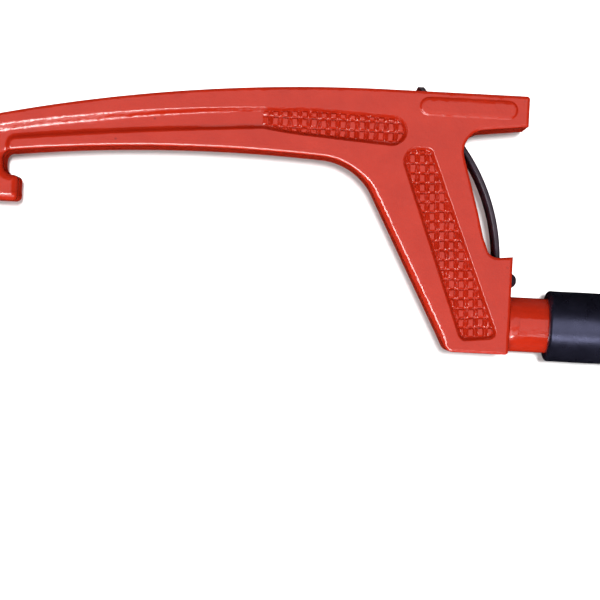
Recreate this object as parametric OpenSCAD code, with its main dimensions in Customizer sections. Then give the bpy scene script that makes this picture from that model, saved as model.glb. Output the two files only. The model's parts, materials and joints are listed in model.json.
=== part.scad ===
// Cast frame grip with a sprung squeeze lever and a bar handle.
// The grip lies on its side: X runs along the handle, Y across it, Z is the thickness.
// Outlines are drawn from the point where the handle's axis leaves the lower block,
// with Z = 0 in the middle of the casting. seat() moves them into the part's frame.

/* [Casting] */
// Thickness of the casting
body_thick = 26; // [25:0.5:28]
// Depth of the sunk panels in each face
recess_depth = 3; // [1.5:0.1:3]
// Height of the flat top above the handle's axis
top_y = 105.3; // [104:0.1:107]
// Where the flat top ends and the curved back of the arm starts
top_flat_end_x = -62; // [-70:1:-55]
// Radius of the curved back of the arm
arm_top_r = 790; // [770:1:810]
// Radius of the arch under the arm
arm_arch_r = 780; // [760:1:800]
// Highest point of the arch, along the handle
arch_peak_x = -138; // [-142:1:-134]
// Highest point of the arch, above the handle's axis
arch_peak_y = 74.2; // [73.5:0.1:75]
// Slant of the leg's palm edge from upright
palm_slant = 28; // [27:0.1:29]

/* [Foot] */
// Distance of the foot's middle from the block, along the handle
foot_x = -247.2; // [-250:0.1:-245]
// Half length of the foot's pad
foot_half = 16.5; // [15.5:0.5:16.5]
// Height of the foot's flat face above the handle's axis
foot_face_y = 45.4; // [44:0.1:47]
// Thickness of the pad
foot_thick = 11.8; // [10:0.1:13]
// Half length of the neck above the pad
neck_half = 9; // [8:0.1:10]
// Chamfer along the pad's two lower edges
pad_chamfer = 3; // [1:0.5:4]

/* [Handle] */
// Radius of the bar between the block and the grip
bar_r = 12.7; // [12:0.1:12.9]
// Radius of the bar's spigot inside the block
spigot_r = 8; // [7:0.5:8]
// Depth of the spigot in the block
spigot_len = 21; // [19:1:22]
// Length of bar that shows before the grip
bar_show = 18; // [15:0.5:25]
// Outer radius of the grip
grip_r = 16.5; // [15.5:0.5:16.5]
// Length of the grip
grip_len = 125; // [100:1:140]
// Thickness of the end cap's rim
cap_thick = 5; // [5:0.5:7]

/* [Lever] */
// Thickness of the lever strip
lever_thick = 2.4; // [2.2:0.1:2.6]
// Width of the lever across the casting
lever_w = 18; // [14:0.5:18]
// Radius of the lever's bow, at its outer face
lever_bow_r = 90; // [89.5:0.1:90]
// How far the tip stands out of the casting's top
tip_out = 2.1; // [1:0.1:2.5]
// Travel of the lever, in degrees
lever_travel = 3; // [1:0.5:3]

/* [Hidden] */
$fn = 96;
eps = 0.01;

enamel = [0.83, 0.20, 0.13];
black = [0.11, 0.11, 0.16];
steel = [0.70, 0.71, 0.73];
bronze = [0.72, 0.56, 0.30];

half = body_thick / 2;
web_half = half - recess_depth;

// The two long arcs of the arm
arm_top_cy = top_y - arm_top_r;
arch_cy = arch_peak_y - arm_arch_r;
function arm_top(x) = arm_top_cy + sqrt(pow(arm_top_r, 2) - pow(min(0, x - top_flat_end_x), 2));
function arm_under(x) = arch_cy + sqrt(pow(arm_arch_r, 2) - pow(x - arch_peak_x, 2));
arm_end_x = foot_x - half;

// Corners and fillets of the foot
foot_top_y = foot_face_y + foot_thick;
pad_low_r = 2.2;
pad_high_r = 2.2;
pad_fillet_r = 5;
neck_fillet_r = 3.5;
neck_top_y = arm_under(foot_x + neck_half + neck_fillet_r);

// Nose, step and block
nose_x = 4.1;
nose_low_y = 91.2;
nose_corner_r = 1.5;
root_r = 10.2;
root_c = [-15, 78.7];
step_y = 30.4;
step_lip = 0.6;
step_r = 5;
block_low_y = -14.2;
block_corner_r = 1.5;
heel_r = 4.5;

// Fillet between the palm edge and the arch, tangent to both
palm_fillet_r = 29;
palm_foot = [-29.1, -12.5];
palm_dir = [-sin(palm_slant), cos(palm_slant)];
palm_in = [cos(palm_slant), sin(palm_slant)];
palm_base = palm_foot - palm_fillet_r * palm_in - [arch_peak_x, arch_cy];
palm_b = palm_base * palm_dir;
palm_t = sqrt(pow(palm_b, 2) - palm_base * palm_base + pow(arm_arch_r - palm_fillet_r, 2)) - palm_b;
palm_c = palm_foot - palm_fillet_r * palm_in + palm_t * palm_dir;
palm_top_a = atan2(palm_c[1] - arch_cy, palm_c[0] - arch_peak_x);
heel_c = [palm_foot[0] + (heel_r - (block_low_y + heel_r - palm_foot[1]) * sin(palm_slant))
          / cos(palm_slant), block_low_y + heel_r];

// Sunk panels: a groove whose flanges widen towards the leg, then a wider panel.
// Left of the lower flange's end the groove opens down onto the neck.
groove_left_x = foot_x - 8;
low_flange_x = foot_x + half;
low_flange_r = 2.5;
groove_right_x = -118;
top_growth = 0.041;
low_growth = 0.0004;
top_inset = 5;
low_inset = 4.8;
arm_panel_c = [-58.8, 86.2];
arm_panel_r = 6.85;

// Raised blank plate on the front of the nose
plate_mid = [-24, 98.2];
plate_size = [45, 8.4];
plate_high = 0.7;

// Lever: a bow whose upper end runs on as a straight shank
bow_c = [-95.6, 25.9];
bow_low_y = 15.5;
shank_tilt = 37.5;
bow_in_r = lever_bow_r - lever_thick;
bow_mid_r = lever_bow_r - lever_thick / 2;
bow_low_a = asin((bow_low_y - bow_c[1]) / lever_bow_r);
shank_dir = [-sin(shank_tilt), cos(shank_tilt)];
function polar(c, r, a) = c + r * [cos(a), sin(a)];
function shank(s) = polar(bow_c, bow_mid_r, shank_tilt) + s * shank_dir;
pivot_s = 16;
pivot = shank(pivot_s);
tip_s = (top_y + tip_out - shank(0)[1]) / cos(shank_tilt) + lever_thick;

// Lever slot in the casting
slot_half_w = lever_w / 2 + 0.25;
stop_gap = 0.05;
swing_gap = 0.5;
slot_low_y = bow_low_y - 2.3;
channel_half = lever_thick / 2 + 1.3;
bow_steps = 20;

// Lever pivot
pin_r = 2;
pin_play = 0.04;
bush_r = 3;
eye_r = 4.4;
pin_high_z = half - 2;
plug_r = 3;
plug_len = 2;
key_r = 1.5;

// Guide screw and return spring
screw_y = 20.2;
screw_r = 2;
screw_play = 0.1;
head_r = 3.55;
head_high = 3.5;
screw_end_x = -26;
lever_hole_r = 3;
lever_hole_up = 0.7;
pocket_r = 4.2;
pocket_x = -21;
washer_thick = 0.7;
wire_r = 0.4;
coil_r = 3;
coil_turns = 6;
coil_sides = 8;
coil_steps = 16;
spring_low_x = pocket_x + washer_thick + wire_r + 0.05;
spring_high_x = bow_c[0] + sqrt(pow(bow_in_r, 2) - pow(screw_y - bow_c[1] + coil_r, 2)) - wire_r - 0.1;

// Pin that locks the bar's spigot, fitted from the back
lock_pin_x = -12;
lock_pin_high_z = 9;

// Flat milled on the bar
flat_x = 4.4;
flat_len = 26;
flat_depth = 0.6;
flat_turn = 5;

// Far end of the grip
lip_r = 1.8;
grip_end_x = bar_show + grip_len;
bar_end_x = grip_end_x - 3;
all_end_x = grip_end_x + cap_thick;
end_screw_r = 3;
end_screw_len = 20;
end_seat_x = grip_end_x + 1.2;
end_washer_r = 7;
end_washer_thick = 1;
end_head_r = 5.5;
end_head_high = 2.4;

// Moves the drawing frame to the part's frame: origin under the middle of the box
mid_x = (foot_x - foot_half + all_end_x) / 2;
mid_y = (top_y + tip_out - grip_r) / 2;
module seat() {
    translate([-mid_x, -mid_y, grip_r]) children();
}

// A cylinder along +X from x0 to x1, at height y
module along_x(x0, x1, r, y = 0) {
    translate([x0, y, 0]) rotate([0, 90, 0]) cylinder(h = x1 - x0, r = r);
}

// A cylinder along +Z from z0 to z1, at point p
module along_z(z0, z1, r, p) {
    translate([p[0], p[1], z0]) cylinder(h = z1 - z0, r = r);
}

// A solid of revolution about the line y = 0, from points of [radius, x]
module turned(points) {
    rotate([0, 90, 0]) rotate_extrude() polygon(points);
}

function arc(c, r, a0, a1, n) = [for (i = [0:n]) polar(c, r, a0 + (a1 - a0) * i / n)];
function spread(x0, x1, n) = [for (i = [0:n]) x0 + (x1 - x0) * i / n];
function turn_about(points, c, a) = [for (p = points) let (d = p - c)
    c + [d[0] * cos(a) - d[1] * sin(a), d[0] * sin(a) + d[1] * cos(a)]];

// Side outline of arm, nose, leg and block
module side_outline() {
    polygon(concat(
        arc([nose_x - nose_corner_r, top_y - nose_corner_r], nose_corner_r, 0, 90, 4),
        [for (x = spread(top_flat_end_x, arm_end_x, 24)) [x, arm_top(x)]],
        [for (x = spread(arm_end_x, palm_c[0] + palm_fillet_r * cos(palm_top_a), 24))
            [x, arm_under(x)]],
        arc(palm_c, palm_fillet_r, palm_top_a - 5, palm_slant, 10),
        arc(heel_c, heel_r, 180 + palm_slant, 270, 5),
        arc([-block_corner_r, block_low_y + block_corner_r], block_corner_r, 270, 360, 4),
        [[0, step_y + step_lip]],
        arc([-7.3, step_y + step_r], step_r, 270, 195, 5),
        [[-14.2, 39.2], [-17.4, 51.4]],
        arc(root_c, root_r, 197, 97, 8),
        [[nose_x, nose_low_y]]
    ));
}

// Sunk panel of the arm: a long groove that opens into a round-ended panel
module arm_panel() {
    from_top = function (x) top_inset + (x - low_flange_x) * top_growth;
    from_under = function (x) low_inset + low_growth * pow(x - low_flange_x, 2);
    corner_x = low_flange_x + low_flange_r;
    open_y = arm_under(foot_x) - 2;
    polygon(concat(
        [[groove_left_x, open_y], [low_flange_x, open_y]],
        arc([corner_x, arm_under(corner_x) + from_under(corner_x) - low_flange_r], low_flange_r, 180, 95, 4),
        [for (x = spread(corner_x, groove_right_x, 16)) [x, arm_under(x) + from_under(x)]],
        [[-100, 82]],
        arc(arm_panel_c, arm_panel_r, -92, 88, 12),
        [[-100, 94.4]],
        [for (x = spread(groove_right_x, groove_left_x, 17)) [x, arm_top(x) - from_top(x)]]
    ));
}

// Sunk panel of the leg: slanted, round at the top, small corners at the bottom
module leg_panel() {
    polygon(concat(
        arc([-46.1, 72.6], 6.6, 202, 80, 8),
        arc([-42.3, 75.7], 3.4, 80, 22, 4),
        arc([-9.6, -4.1], 3.3, 22, -75, 5),
        arc([-19.9, -4.9], 3.7, 262, 202, 4)
    ));
}

// Outline of the space that the lever sweeps inside the casting
module lever_sweep() {
    rest_out = arc(bow_c, lever_bow_r + stop_gap, bow_low_a - 2, shank_tilt, bow_steps);
    full_in = turn_about(arc(bow_c, bow_in_r - swing_gap, shank_tilt, bow_low_a, bow_steps),
                         pivot, -lever_travel);
    polygon(concat(
        [[rest_out[0][0], slot_low_y]],
        rest_out,
        full_in,
        [[full_in[bow_steps][0], slot_low_y]]
    ));
}

// Straight channel for the lever's shank, from the bow's end to above the top
module shank_channel() {
    length = tip_s + 6;
    translate(shank(0)) rotate([0, 0, shank_tilt]) translate([-channel_half, -2])
        square([2 * channel_half, length]);
    translate(pivot) circle(r = eye_r + 0.4);
}

// Right half of the pad and neck, from the foot's middle line
function foot_side() = concat(
    [[0, foot_face_y]],
    arc([foot_half - pad_low_r, foot_face_y + pad_low_r], pad_low_r, 270, 360, 4),
    arc([foot_half - pad_high_r, foot_top_y - pad_high_r], pad_high_r, 0, 90, 4),
    arc([neck_half + pad_fillet_r, foot_top_y + pad_fillet_r], pad_fillet_r, 270, 180, 6),
    arc([neck_half + neck_fillet_r, neck_top_y - neck_fillet_r], neck_fillet_r, 180, 90, 4),
    [[neck_half + neck_fillet_r, neck_top_y + 4]]
);

// Foot: a flat-sided neck and pad, as thick as the web between the sunk panels
module foot() {
    right = foot_side();
    left = [for (i = [len(right) - 1:-1:1]) [-right[i][0], right[i][1]]];
    translate([foot_x, 0, 0]) difference() {
        translate([0, 0, -web_half]) linear_extrude(2 * web_half) polygon(concat(right, left));
        for (side = [-1, 1]) translate([0, foot_face_y, side * web_half]) rotate([45, 0, 0])
            cube([2 * foot_half + 2, pad_chamfer * sqrt(2), pad_chamfer * sqrt(2)], center = true);
    }
}

module arm_blank() {
    intersection() {
        translate([0, 0, -half]) linear_extrude(body_thick) side_outline();
        union() {
            translate([foot_x, -20, -half]) cube([300, 140, body_thick]);
            translate([foot_x, 50, 0]) rotate([-90, 0, 0]) cylinder(h = 60, r = half);
        }
    }
    foot();
    translate([plate_mid[0], plate_mid[1], half - eps])
        linear_extrude(plate_high + eps) round_plate();
}

module round_plate() {
    r = plate_size[1] / 2;
    reach = plate_size[0] / 2 - r;
    polygon(concat(arc([reach, 0], r, -90, 90, 10), arc([-reach, 0], r, 90, 270, 10)));
}

module arm_casting() {
    color(enamel) seat() difference() {
        arm_blank();
        for (side = [-1, 1]) translate([0, 0, side > 0 ? web_half : -half - 1])
            linear_extrude(recess_depth + 1) {
                arm_panel();
                leg_panel();
            }
        translate([0, 0, -slot_half_w]) linear_extrude(2 * slot_half_w) {
            lever_sweep();
            shank_channel();
        }
        along_z(-half - 1, pin_high_z, pin_r, pivot);
        along_z(-half - 1, -half + plug_len, plug_r, pivot);
        along_x(pocket_x, -7, pocket_r, screw_y);
        along_x(screw_end_x, pocket_x + 1, screw_r, screw_y);
        along_x(-10, 1, screw_r + screw_play, screw_y);
        along_x(-spigot_len, 1, spigot_r);
        along_z(-half - 1, lock_pin_high_z, pin_r, [lock_pin_x, 0]);
    }
}

// Bowed strip, straight shank with an eye, and a hole that clears the guide screw
module squeeze_lever() {
    color(black) seat() difference() {
        translate([0, 0, -lever_w / 2]) union() {
            translate(bow_c) rotate([0, 0, bow_low_a])
                rotate_extrude(angle = shank_tilt - bow_low_a, $fn = 256)
                    translate([bow_in_r, 0]) square([lever_thick, lever_w]);
            linear_extrude(lever_w) {
                translate(shank(0)) rotate([0, 0, shank_tilt]) translate([-lever_thick / 2, -eps])
                    square([lever_thick, tip_s + eps]);
            }
            translate(pivot) cylinder(h = lever_w, r = eye_r);
        }
        along_z(-lever_w, lever_w, bush_r, pivot);
        along_x(-14, 0, lever_hole_r, screw_y + lever_hole_up);
        // The tip is cut level with the casting's top
        translate([shank(tip_s)[0] - 10, top_y + tip_out, -lever_w]) cube([20, 10, 2 * lever_w]);
    }
}

module lever_bush() {
    color(bronze) seat() difference() {
        along_z(-lever_w / 2, lever_w / 2, bush_r, pivot);
        along_z(-lever_w, lever_w, pin_r + pin_play, pivot);
    }
}

module lever_pin() {
    color(steel) seat() along_z(-half + plug_len, pin_high_z, pin_r, pivot);
}

// Short headless screw with a hexagon socket, flush with the back
module pin_plug() {
    color(steel) seat() difference() {
        along_z(-half + 0.2, -half + plug_len, plug_r, pivot);
        translate([pivot[0], pivot[1], -half - 1]) cylinder(h = 2.2, r = key_r, $fn = 6);
    }
}

// Wire ring number i of the coil: its centre line climbs along X
function coil_point(i) = let (t = i / (coil_turns * coil_steps))
    [spring_low_x + (spring_high_x - spring_low_x) * t, coil_r * cos(360 * coil_turns * t),
     coil_r * sin(360 * coil_turns * t)];
function coil_ring(i) = let (a = 360 * i / coil_steps, c = coil_point(i))
    [for (k = [0:coil_sides - 1]) let (b = 360 * k / coil_sides)
        c + wire_r * [sin(b), cos(b) * cos(a), cos(b) * sin(a)]];

module return_spring() {
    rings = coil_turns * coil_steps;
    points = [for (i = [0:rings]) each coil_ring(i)];
    sides = [for (i = [0:rings - 1], k = [0:coil_sides - 1]) let (n = (k + 1) % coil_sides)
        [i * coil_sides + k, i * coil_sides + n, (i + 1) * coil_sides + n, (i + 1) * coil_sides + k]];
    caps = [[for (k = [coil_sides - 1:-1:0]) k],
            [for (k = [0:coil_sides - 1]) rings * coil_sides + k]];
    color(steel) seat() translate([0, screw_y, 0])
        polyhedron(points = points, faces = concat(sides, caps), convexity = 10);
}

module spring_washer() {
    color(steel) seat() difference() {
        along_x(pocket_x, pocket_x + washer_thick, pocket_r - 0.1, screw_y);
        along_x(pocket_x - 1, pocket_x + 2, screw_r + screw_play, screw_y);
    }
}

// Dome-head screw: its shank crosses the slot and ends in the leg
module guide_screw() {
    dome_r = (pow(head_r, 2) + pow(head_high, 2)) / (2 * head_high);
    dome_a = asin(head_r / dome_r);
    color(steel) seat() translate([0, screw_y, 0]) difference() {
        turned(concat(
            [[0, screw_end_x], [screw_r, screw_end_x], [screw_r, 0], [head_r, 0]],
            arc([0, head_high - dome_r], dome_r, 90 - dome_a, 90, 8)
        ));
        translate([head_high - 1.6, 0, 0]) rotate([0, 90, 0]) cylinder(h = 3, r = 1.3, $fn = 6);
    }
}

// Bar with a smaller spigot, a milled flat, a cross hole and a tapped end
module handle_bar() {
    color(enamel) seat() difference() {
        union() {
            along_x(-spigot_len, 0, spigot_r);
            along_x(0, bar_end_x, bar_r);
        }
        rotate([flat_turn, 0, 0]) translate([flat_x, -bar_r, bar_r - flat_depth])
            cube([flat_len, 2 * bar_r, 2]);
        along_z(-spigot_r - 1, spigot_r + 1, pin_r, [lock_pin_x, 0]);
        along_x(bar_end_x - end_screw_len + 2, bar_end_x + 1, end_screw_r);
    }
}

module bar_lock_pin() {
    color(steel) seat() along_z(-web_half, lock_pin_high_z, pin_r, [lock_pin_x, 0]);
}

module grip_sleeve() {
    color(black) seat() turned(concat(
        [[bar_r, grip_end_x], [bar_r, bar_show]],
        arc([grip_r - lip_r, bar_show + lip_r], lip_r, -90, 0, 6),
        [[grip_r, grip_end_x]]
    ));
}

// Cap with a plug inside the sleeve and a sunk seat for the end screw
module grip_end_cap() {
    color(black) seat() turned(concat(
        [[end_screw_r + screw_play, bar_end_x], [bar_r, bar_end_x], [bar_r, grip_end_x],
         [grip_r, grip_end_x]],
        arc([grip_r - lip_r, all_end_x - lip_r], lip_r, 0, 90, 6),
        [[end_washer_r + 0.3, all_end_x], [end_washer_r + 0.3, end_seat_x],
         [end_screw_r + screw_play, end_seat_x]]
    ));
}

module end_washer() {
    color(steel) seat() difference() {
        along_x(end_seat_x, end_seat_x + end_washer_thick, end_washer_r);
        along_x(end_seat_x - 1, all_end_x, end_screw_r + screw_play);
    }
}

module end_screw() {
    head_x = end_seat_x + end_washer_thick;
    color(steel) seat() difference() {
        turned([[0, head_x - end_screw_len], [end_screw_r, head_x - end_screw_len],
                [end_screw_r, head_x], [end_head_r, head_x], [end_head_r, head_x + 1.2],
                [end_head_r - 1.2, head_x + end_head_high], [0, head_x + end_head_high]]);
        along_x(head_x + end_head_high - 1.4, all_end_x + 1, 2);
    }
}

arm_casting();
squeeze_lever();
lever_bush();
lever_pin();
pin_plug();
return_spring();
spring_washer();
guide_screw();
handle_bar();
bar_lock_pin();
grip_sleeve();
grip_end_cap();
end_washer();
end_screw();
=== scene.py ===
"""Looks of the cast frame grip: enamelled casting with woven panels, black lever, bar and grip."""
import json
import math

import bmesh
import bpy
import numpy as np
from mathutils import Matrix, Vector, geometry


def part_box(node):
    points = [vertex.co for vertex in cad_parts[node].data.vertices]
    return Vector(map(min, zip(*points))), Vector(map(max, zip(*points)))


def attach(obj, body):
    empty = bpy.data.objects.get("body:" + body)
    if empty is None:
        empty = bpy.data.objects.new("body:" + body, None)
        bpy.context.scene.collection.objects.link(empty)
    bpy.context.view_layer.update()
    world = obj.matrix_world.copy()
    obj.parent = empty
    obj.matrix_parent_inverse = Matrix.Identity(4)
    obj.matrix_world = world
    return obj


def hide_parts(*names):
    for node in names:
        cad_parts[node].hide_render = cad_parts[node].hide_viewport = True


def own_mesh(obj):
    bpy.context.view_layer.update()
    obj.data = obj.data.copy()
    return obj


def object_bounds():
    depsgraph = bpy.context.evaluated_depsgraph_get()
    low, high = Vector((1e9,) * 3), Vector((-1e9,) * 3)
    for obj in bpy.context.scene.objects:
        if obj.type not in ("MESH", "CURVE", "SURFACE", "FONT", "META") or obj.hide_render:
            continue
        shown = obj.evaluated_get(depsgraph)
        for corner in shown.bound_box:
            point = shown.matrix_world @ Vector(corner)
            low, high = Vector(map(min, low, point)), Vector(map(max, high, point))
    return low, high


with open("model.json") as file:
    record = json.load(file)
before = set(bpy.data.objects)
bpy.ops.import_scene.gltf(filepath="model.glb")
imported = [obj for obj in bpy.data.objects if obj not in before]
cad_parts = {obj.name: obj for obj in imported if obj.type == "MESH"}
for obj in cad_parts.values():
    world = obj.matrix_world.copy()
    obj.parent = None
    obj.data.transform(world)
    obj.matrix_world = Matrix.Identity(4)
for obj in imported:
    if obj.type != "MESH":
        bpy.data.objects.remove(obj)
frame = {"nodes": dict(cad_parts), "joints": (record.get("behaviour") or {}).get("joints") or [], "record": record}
cad_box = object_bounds()

# Sizes are in millimetres in a drawing frame: X along the handle from the block's face, Y across,
# Z through the casting from its middle. ORIGIN is that frame's origin in the row frame.
MM = 0.001
SPIGOT = 21.0
bar_low, bar_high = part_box("handle_bar")
ORIGIN = Vector((bar_low.x + SPIGOT * MM, (bar_low.y + bar_high.y) / 2,
                 (bar_low.z + bar_high.z) / 2))
casting_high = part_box("arm_casting")[1]
mounts = {m["name"]: Vector(m["pos_m"]) for m in frame["record"]["mounts"]}
hinge = next(j for j in frame["joints"] if j["name"] == "lever_squeeze")


def local(point):
    """A row-frame point in millimetres in the drawing frame."""
    return (Vector(point) - ORIGIN) / MM


# Casting
HALF = 13.0
TOP_Y = local(casting_high).y
NOSE_X = local(casting_high).x
FOOT_X = local(mounts["foot_face"]).x
FOOT_FACE_Y = local(mounts["foot_face"]).y
FOOT_HALF = 16.5
FOOT_TOP_Y = FOOT_FACE_Y + 11.8
FOOT_CORNER_R = 2.2
FOOT_EDGE_R = 3.2
NECK_HALF = 9.0
NECK_FILLET_R = 3.5
PAD_FILLET_R = 5.0
TOP_FLAT_END = -62.0
TOP_R = 790.0
ARCH_R = 780.0
ARCH_PEAK = np.array([-138.0, 74.2])
PALM_SLANT = 28.0
PALM_FILLET = 29.0
PALM_FOOT = np.array([-29.1, -12.5])
BLOCK_LOW_Y = -14.2
HEEL_R = 4.5
NOSE_LOW_Y = 91.2
CORNER_R = 1.5
ROOT_C = np.array([-15.0, 78.7])
ROOT_R = 10.2
RECESS_BACK = [(-14.2, 39.2), (-17.4, 51.4)]
STEP_Y = 30.4
STEP_R = 5.0
STEP_C = (-7.3, STEP_Y + STEP_R)
STEP_LIP = 0.6
STEP_LIP_X = -5.5

# Roundings and chamfers that only the visual model has
EDGE_R = 1.6
PALM_EDGE_R = 3.8
PAD_EDGE_LESS = 1.2
PAD_END_X = FOOT_X + HALF + 6
CHAMFER_SLOPE = 0.62
CHAMFER_BLEND = 0.2
WALL_ROWS = 12
PARTING_INSET = 0.14

# Sunk panels, their weave and the raised plate
RECESS = 3.0
LEG_DEPTH = 0.85 * RECESS
GROOVE_START = FOOT_X - 8
ARM_PANEL_C = np.array([-58.8, 86.2])
ARM_PANEL_R = 6.85
GROOVE_END = -118.0
LOW_FLANGE_X = FOOT_X + HALF
LOW_INSET, LOW_GROWTH = 4.8, 0.0004
TOP_INSET, TOP_GROWTH = 5.0, 0.041
FLANGE_END_R = 2.5
WAIST_LOW = [(-109, 82.9), (-100, 82)]
WAIST_TOP = [(-84, 94.2), (-100, 94.4), (-109, 93.9)]
PAD_MARGIN = 6
LEG_CORNERS = (((-46.1, 72.6), 6.6, 202, 80, 0.5), ((-42.3, 75.7), 3.4, 80, 22, 0.4),
               ((-9.6, -4.1), 3.3, 22, -75, 0.4), ((-19.9, -4.9), 3.7, 262, 202, 0.4))
WALL_WIDE = 1.6
TOP_WALL_EXTRA, LOW_WALL_EXTRA = 3.2, 1.4
WALL_SLOPE_RUN = 80
LEG_WALL_WIDE = 1.7
WALL_START = 0.35
CELL = 4.45
WEAVE_HIGH = 1.15
ARM_WEAVE = (0.0, (-79.3, 90.1))
LEG_WEAVE = (3.0, (-42.4, 74.1))
PLATE_MID = np.array([-24.0, 98.2])
PLATE_SIZE = np.array([45.0, 8.4])
PLATE_HIGH = 0.7

# Lever
BOW_C = np.array([-95.6, 25.9])
BOW_R = 90.0
LEVER_THICK = 2.4
LEVER_W = 18.0
BOW_LOW_Y = 15.5
SHANK_TILT = 37.5
TIP_OUT = 2.1
TRAVEL = 3.0
LEVER_CORNER_R = 0.75
LOW_END_SIZE = 0.6
PIVOT = np.array(local(hinge["pos_m"]))[:2]
EYE_R = 4.4
EYE_SINK = 0.02
BUSH_R = 3.0
SCREW_Y = 20.2
LEVER_HOLE_R = 3.0
LEVER_HOLE_UP = 0.7

# Holes in the casting
SLOT_PLAY = 0.25
REST_GAP = 0.05
SWING_GAP = 0.5
CHANNEL_GAP = 1.3
SLOT_LOW_Y = BOW_LOW_Y - 2.3
PIN_R = 2.0
PLUG_R = 3.0
POCKET_X, POCKET_R = -21, 4.2
SCREW_X, SCREW_HOLE_R = -26, 2.1
SPIGOT_R = 8.0
LOCK_PIN_X = -12

# Return spring
SPRING_X = (-19.85, -8.54)
COIL_R = 3.0
WIRE_R = 0.4
COIL_TURNS = 6
COIL_STEPS = 24
WIRE_SIDES = 10

# Handle
BAR_R = (bar_high.z - bar_low.z) / 2 / MM
BAR_END_X = local(bar_high).x
FLAT_X = (4.4, 30.4)
FLAT_HALF = 9
FLAT_DEPTH = 0.6
FLAT_TURN = 5
END_HOLE_R = 3.0
LIP_R = 1.8
SLEEVE_PLAY = 0.02
RIPPLE_DEPTH = 0.04
RIPPLE_RATE = 0.31
CAP_HOLE_R = 3.1
CAP_SEAT_R = 7.3
grip_low, grip_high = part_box("grip_sleeve")
GRIP_R = (grip_high.z - grip_low.z) / 2 / MM
GRIP_X0 = local(grip_low).x
GRIP_X1 = local(grip_high).x
cap_low, cap_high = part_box("grip_end_cap")
CAP_X0 = local(cap_low).x
CAP_X1 = local(cap_high).x
CAP_SEAT_X = GRIP_X1 + 1.2


# ---------------------------------------------------------------- outlines
def arc(c, r, a0, a1, step=0.8):
    """Points of an arc, in degrees, about a step apart."""
    n = max(3, int(abs(math.radians(a1 - a0)) * r / step))
    a = np.radians(np.linspace(a0, a1, n + 1))
    return np.stack([c[0] + r * np.cos(a), c[1] + r * np.sin(a)], axis=1)


def arm_top(x):
    x = np.minimum(np.asarray(x, float) - TOP_FLAT_END, 0)
    return TOP_Y - TOP_R + np.sqrt(TOP_R**2 - x**2)


def arm_under(x):
    return ARCH_PEAK[1] - ARCH_R + np.sqrt(ARCH_R**2 - (np.asarray(x, float) - ARCH_PEAK[0])**2)


def curve(f, x0, x1, n):
    x = np.linspace(x0, x1, n)
    return np.stack([x, f(x)], axis=1)


def palm_fillet():
    """Centre and first angle of the fillet that is tangent to the palm edge and to the arch."""
    slant = math.radians(PALM_SLANT)
    along = np.array([-math.sin(slant), math.cos(slant)])
    inward = np.array([math.cos(slant), math.sin(slant)])
    arch_c = np.array([ARCH_PEAK[0], ARCH_PEAK[1] - ARCH_R])
    base = PALM_FOOT - PALM_FILLET * inward - arch_c
    b = base @ along
    t = math.sqrt(b * b - base @ base + (ARCH_R - PALM_FILLET)**2) - b
    c = base + arch_c + t * along
    return c, math.degrees(math.atan2(c[1] - arch_c[1], c[0] - arch_c[0]))


def foot_side():
    """Right half of the pad up to the neck, measured from the foot's middle line."""
    corner_x = FOOT_HALF - FOOT_CORNER_R
    return np.concatenate([
        arc((corner_x, FOOT_FACE_Y + FOOT_CORNER_R), FOOT_CORNER_R, 270, 360, 0.5),
        arc((corner_x, FOOT_TOP_Y - FOOT_CORNER_R), FOOT_CORNER_R, 0, 90, 0.5),
        arc((NECK_HALF + PAD_FILLET_R, FOOT_TOP_Y + PAD_FILLET_R), PAD_FILLET_R, 270, 180, 0.5),
    ])


def side_outline():
    """Outline of arm, nose, leg and block, anticlockwise."""
    palm_c, palm_a = palm_fillet()
    slant = math.radians(PALM_SLANT)
    heel_up = BLOCK_LOW_Y + HEEL_R - PALM_FOOT[1]
    heel_x = PALM_FOOT[0] + (HEEL_R - heel_up * math.sin(slant)) / math.cos(slant)
    end = FOOT_X - HALF * np.sin(np.radians(np.linspace(0, 90, 24)))
    to_arch = palm_c[0] + PALM_FILLET * math.cos(math.radians(palm_a))
    pad = foot_side()
    root = NECK_HALF + NECK_FILLET_R
    root_y = float(arm_under(FOOT_X + root))
    return np.concatenate([
        arc((NOSE_X - CORNER_R, TOP_Y - CORNER_R), CORNER_R, 0, 90, 0.4),
        curve(arm_top, TOP_FLAT_END, FOOT_X, 180),
        np.stack([end[1:], arm_top(end[1:])], axis=1),
        curve(arm_under, FOOT_X - HALF, FOOT_X - NECK_HALF, 6),
        pad[::-1] * (-1, 1) + (FOOT_X, 0),
        pad + (FOOT_X, 0),
        arc((FOOT_X + root, root_y - NECK_FILLET_R), NECK_FILLET_R, 180, 90, 0.5),
        curve(arm_under, FOOT_X + root + 0.4, to_arch, 180),
        arc(palm_c, PALM_FILLET, palm_a - 2, PALM_SLANT),
        arc((heel_x, BLOCK_LOW_Y + HEEL_R), HEEL_R, 180 + PALM_SLANT, 270, 0.5),
        arc((-CORNER_R, BLOCK_LOW_Y + CORNER_R), CORNER_R, 270, 360, 0.4),
        [(0, STEP_Y + STEP_LIP), (STEP_LIP_X, STEP_Y)],
        arc(STEP_C, STEP_R, 270, 195, 0.5),
        RECESS_BACK,
        arc(ROOT_C, ROOT_R, 197, 97, 0.6),
        [(NOSE_X, NOSE_LOW_Y)],
    ])


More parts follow.
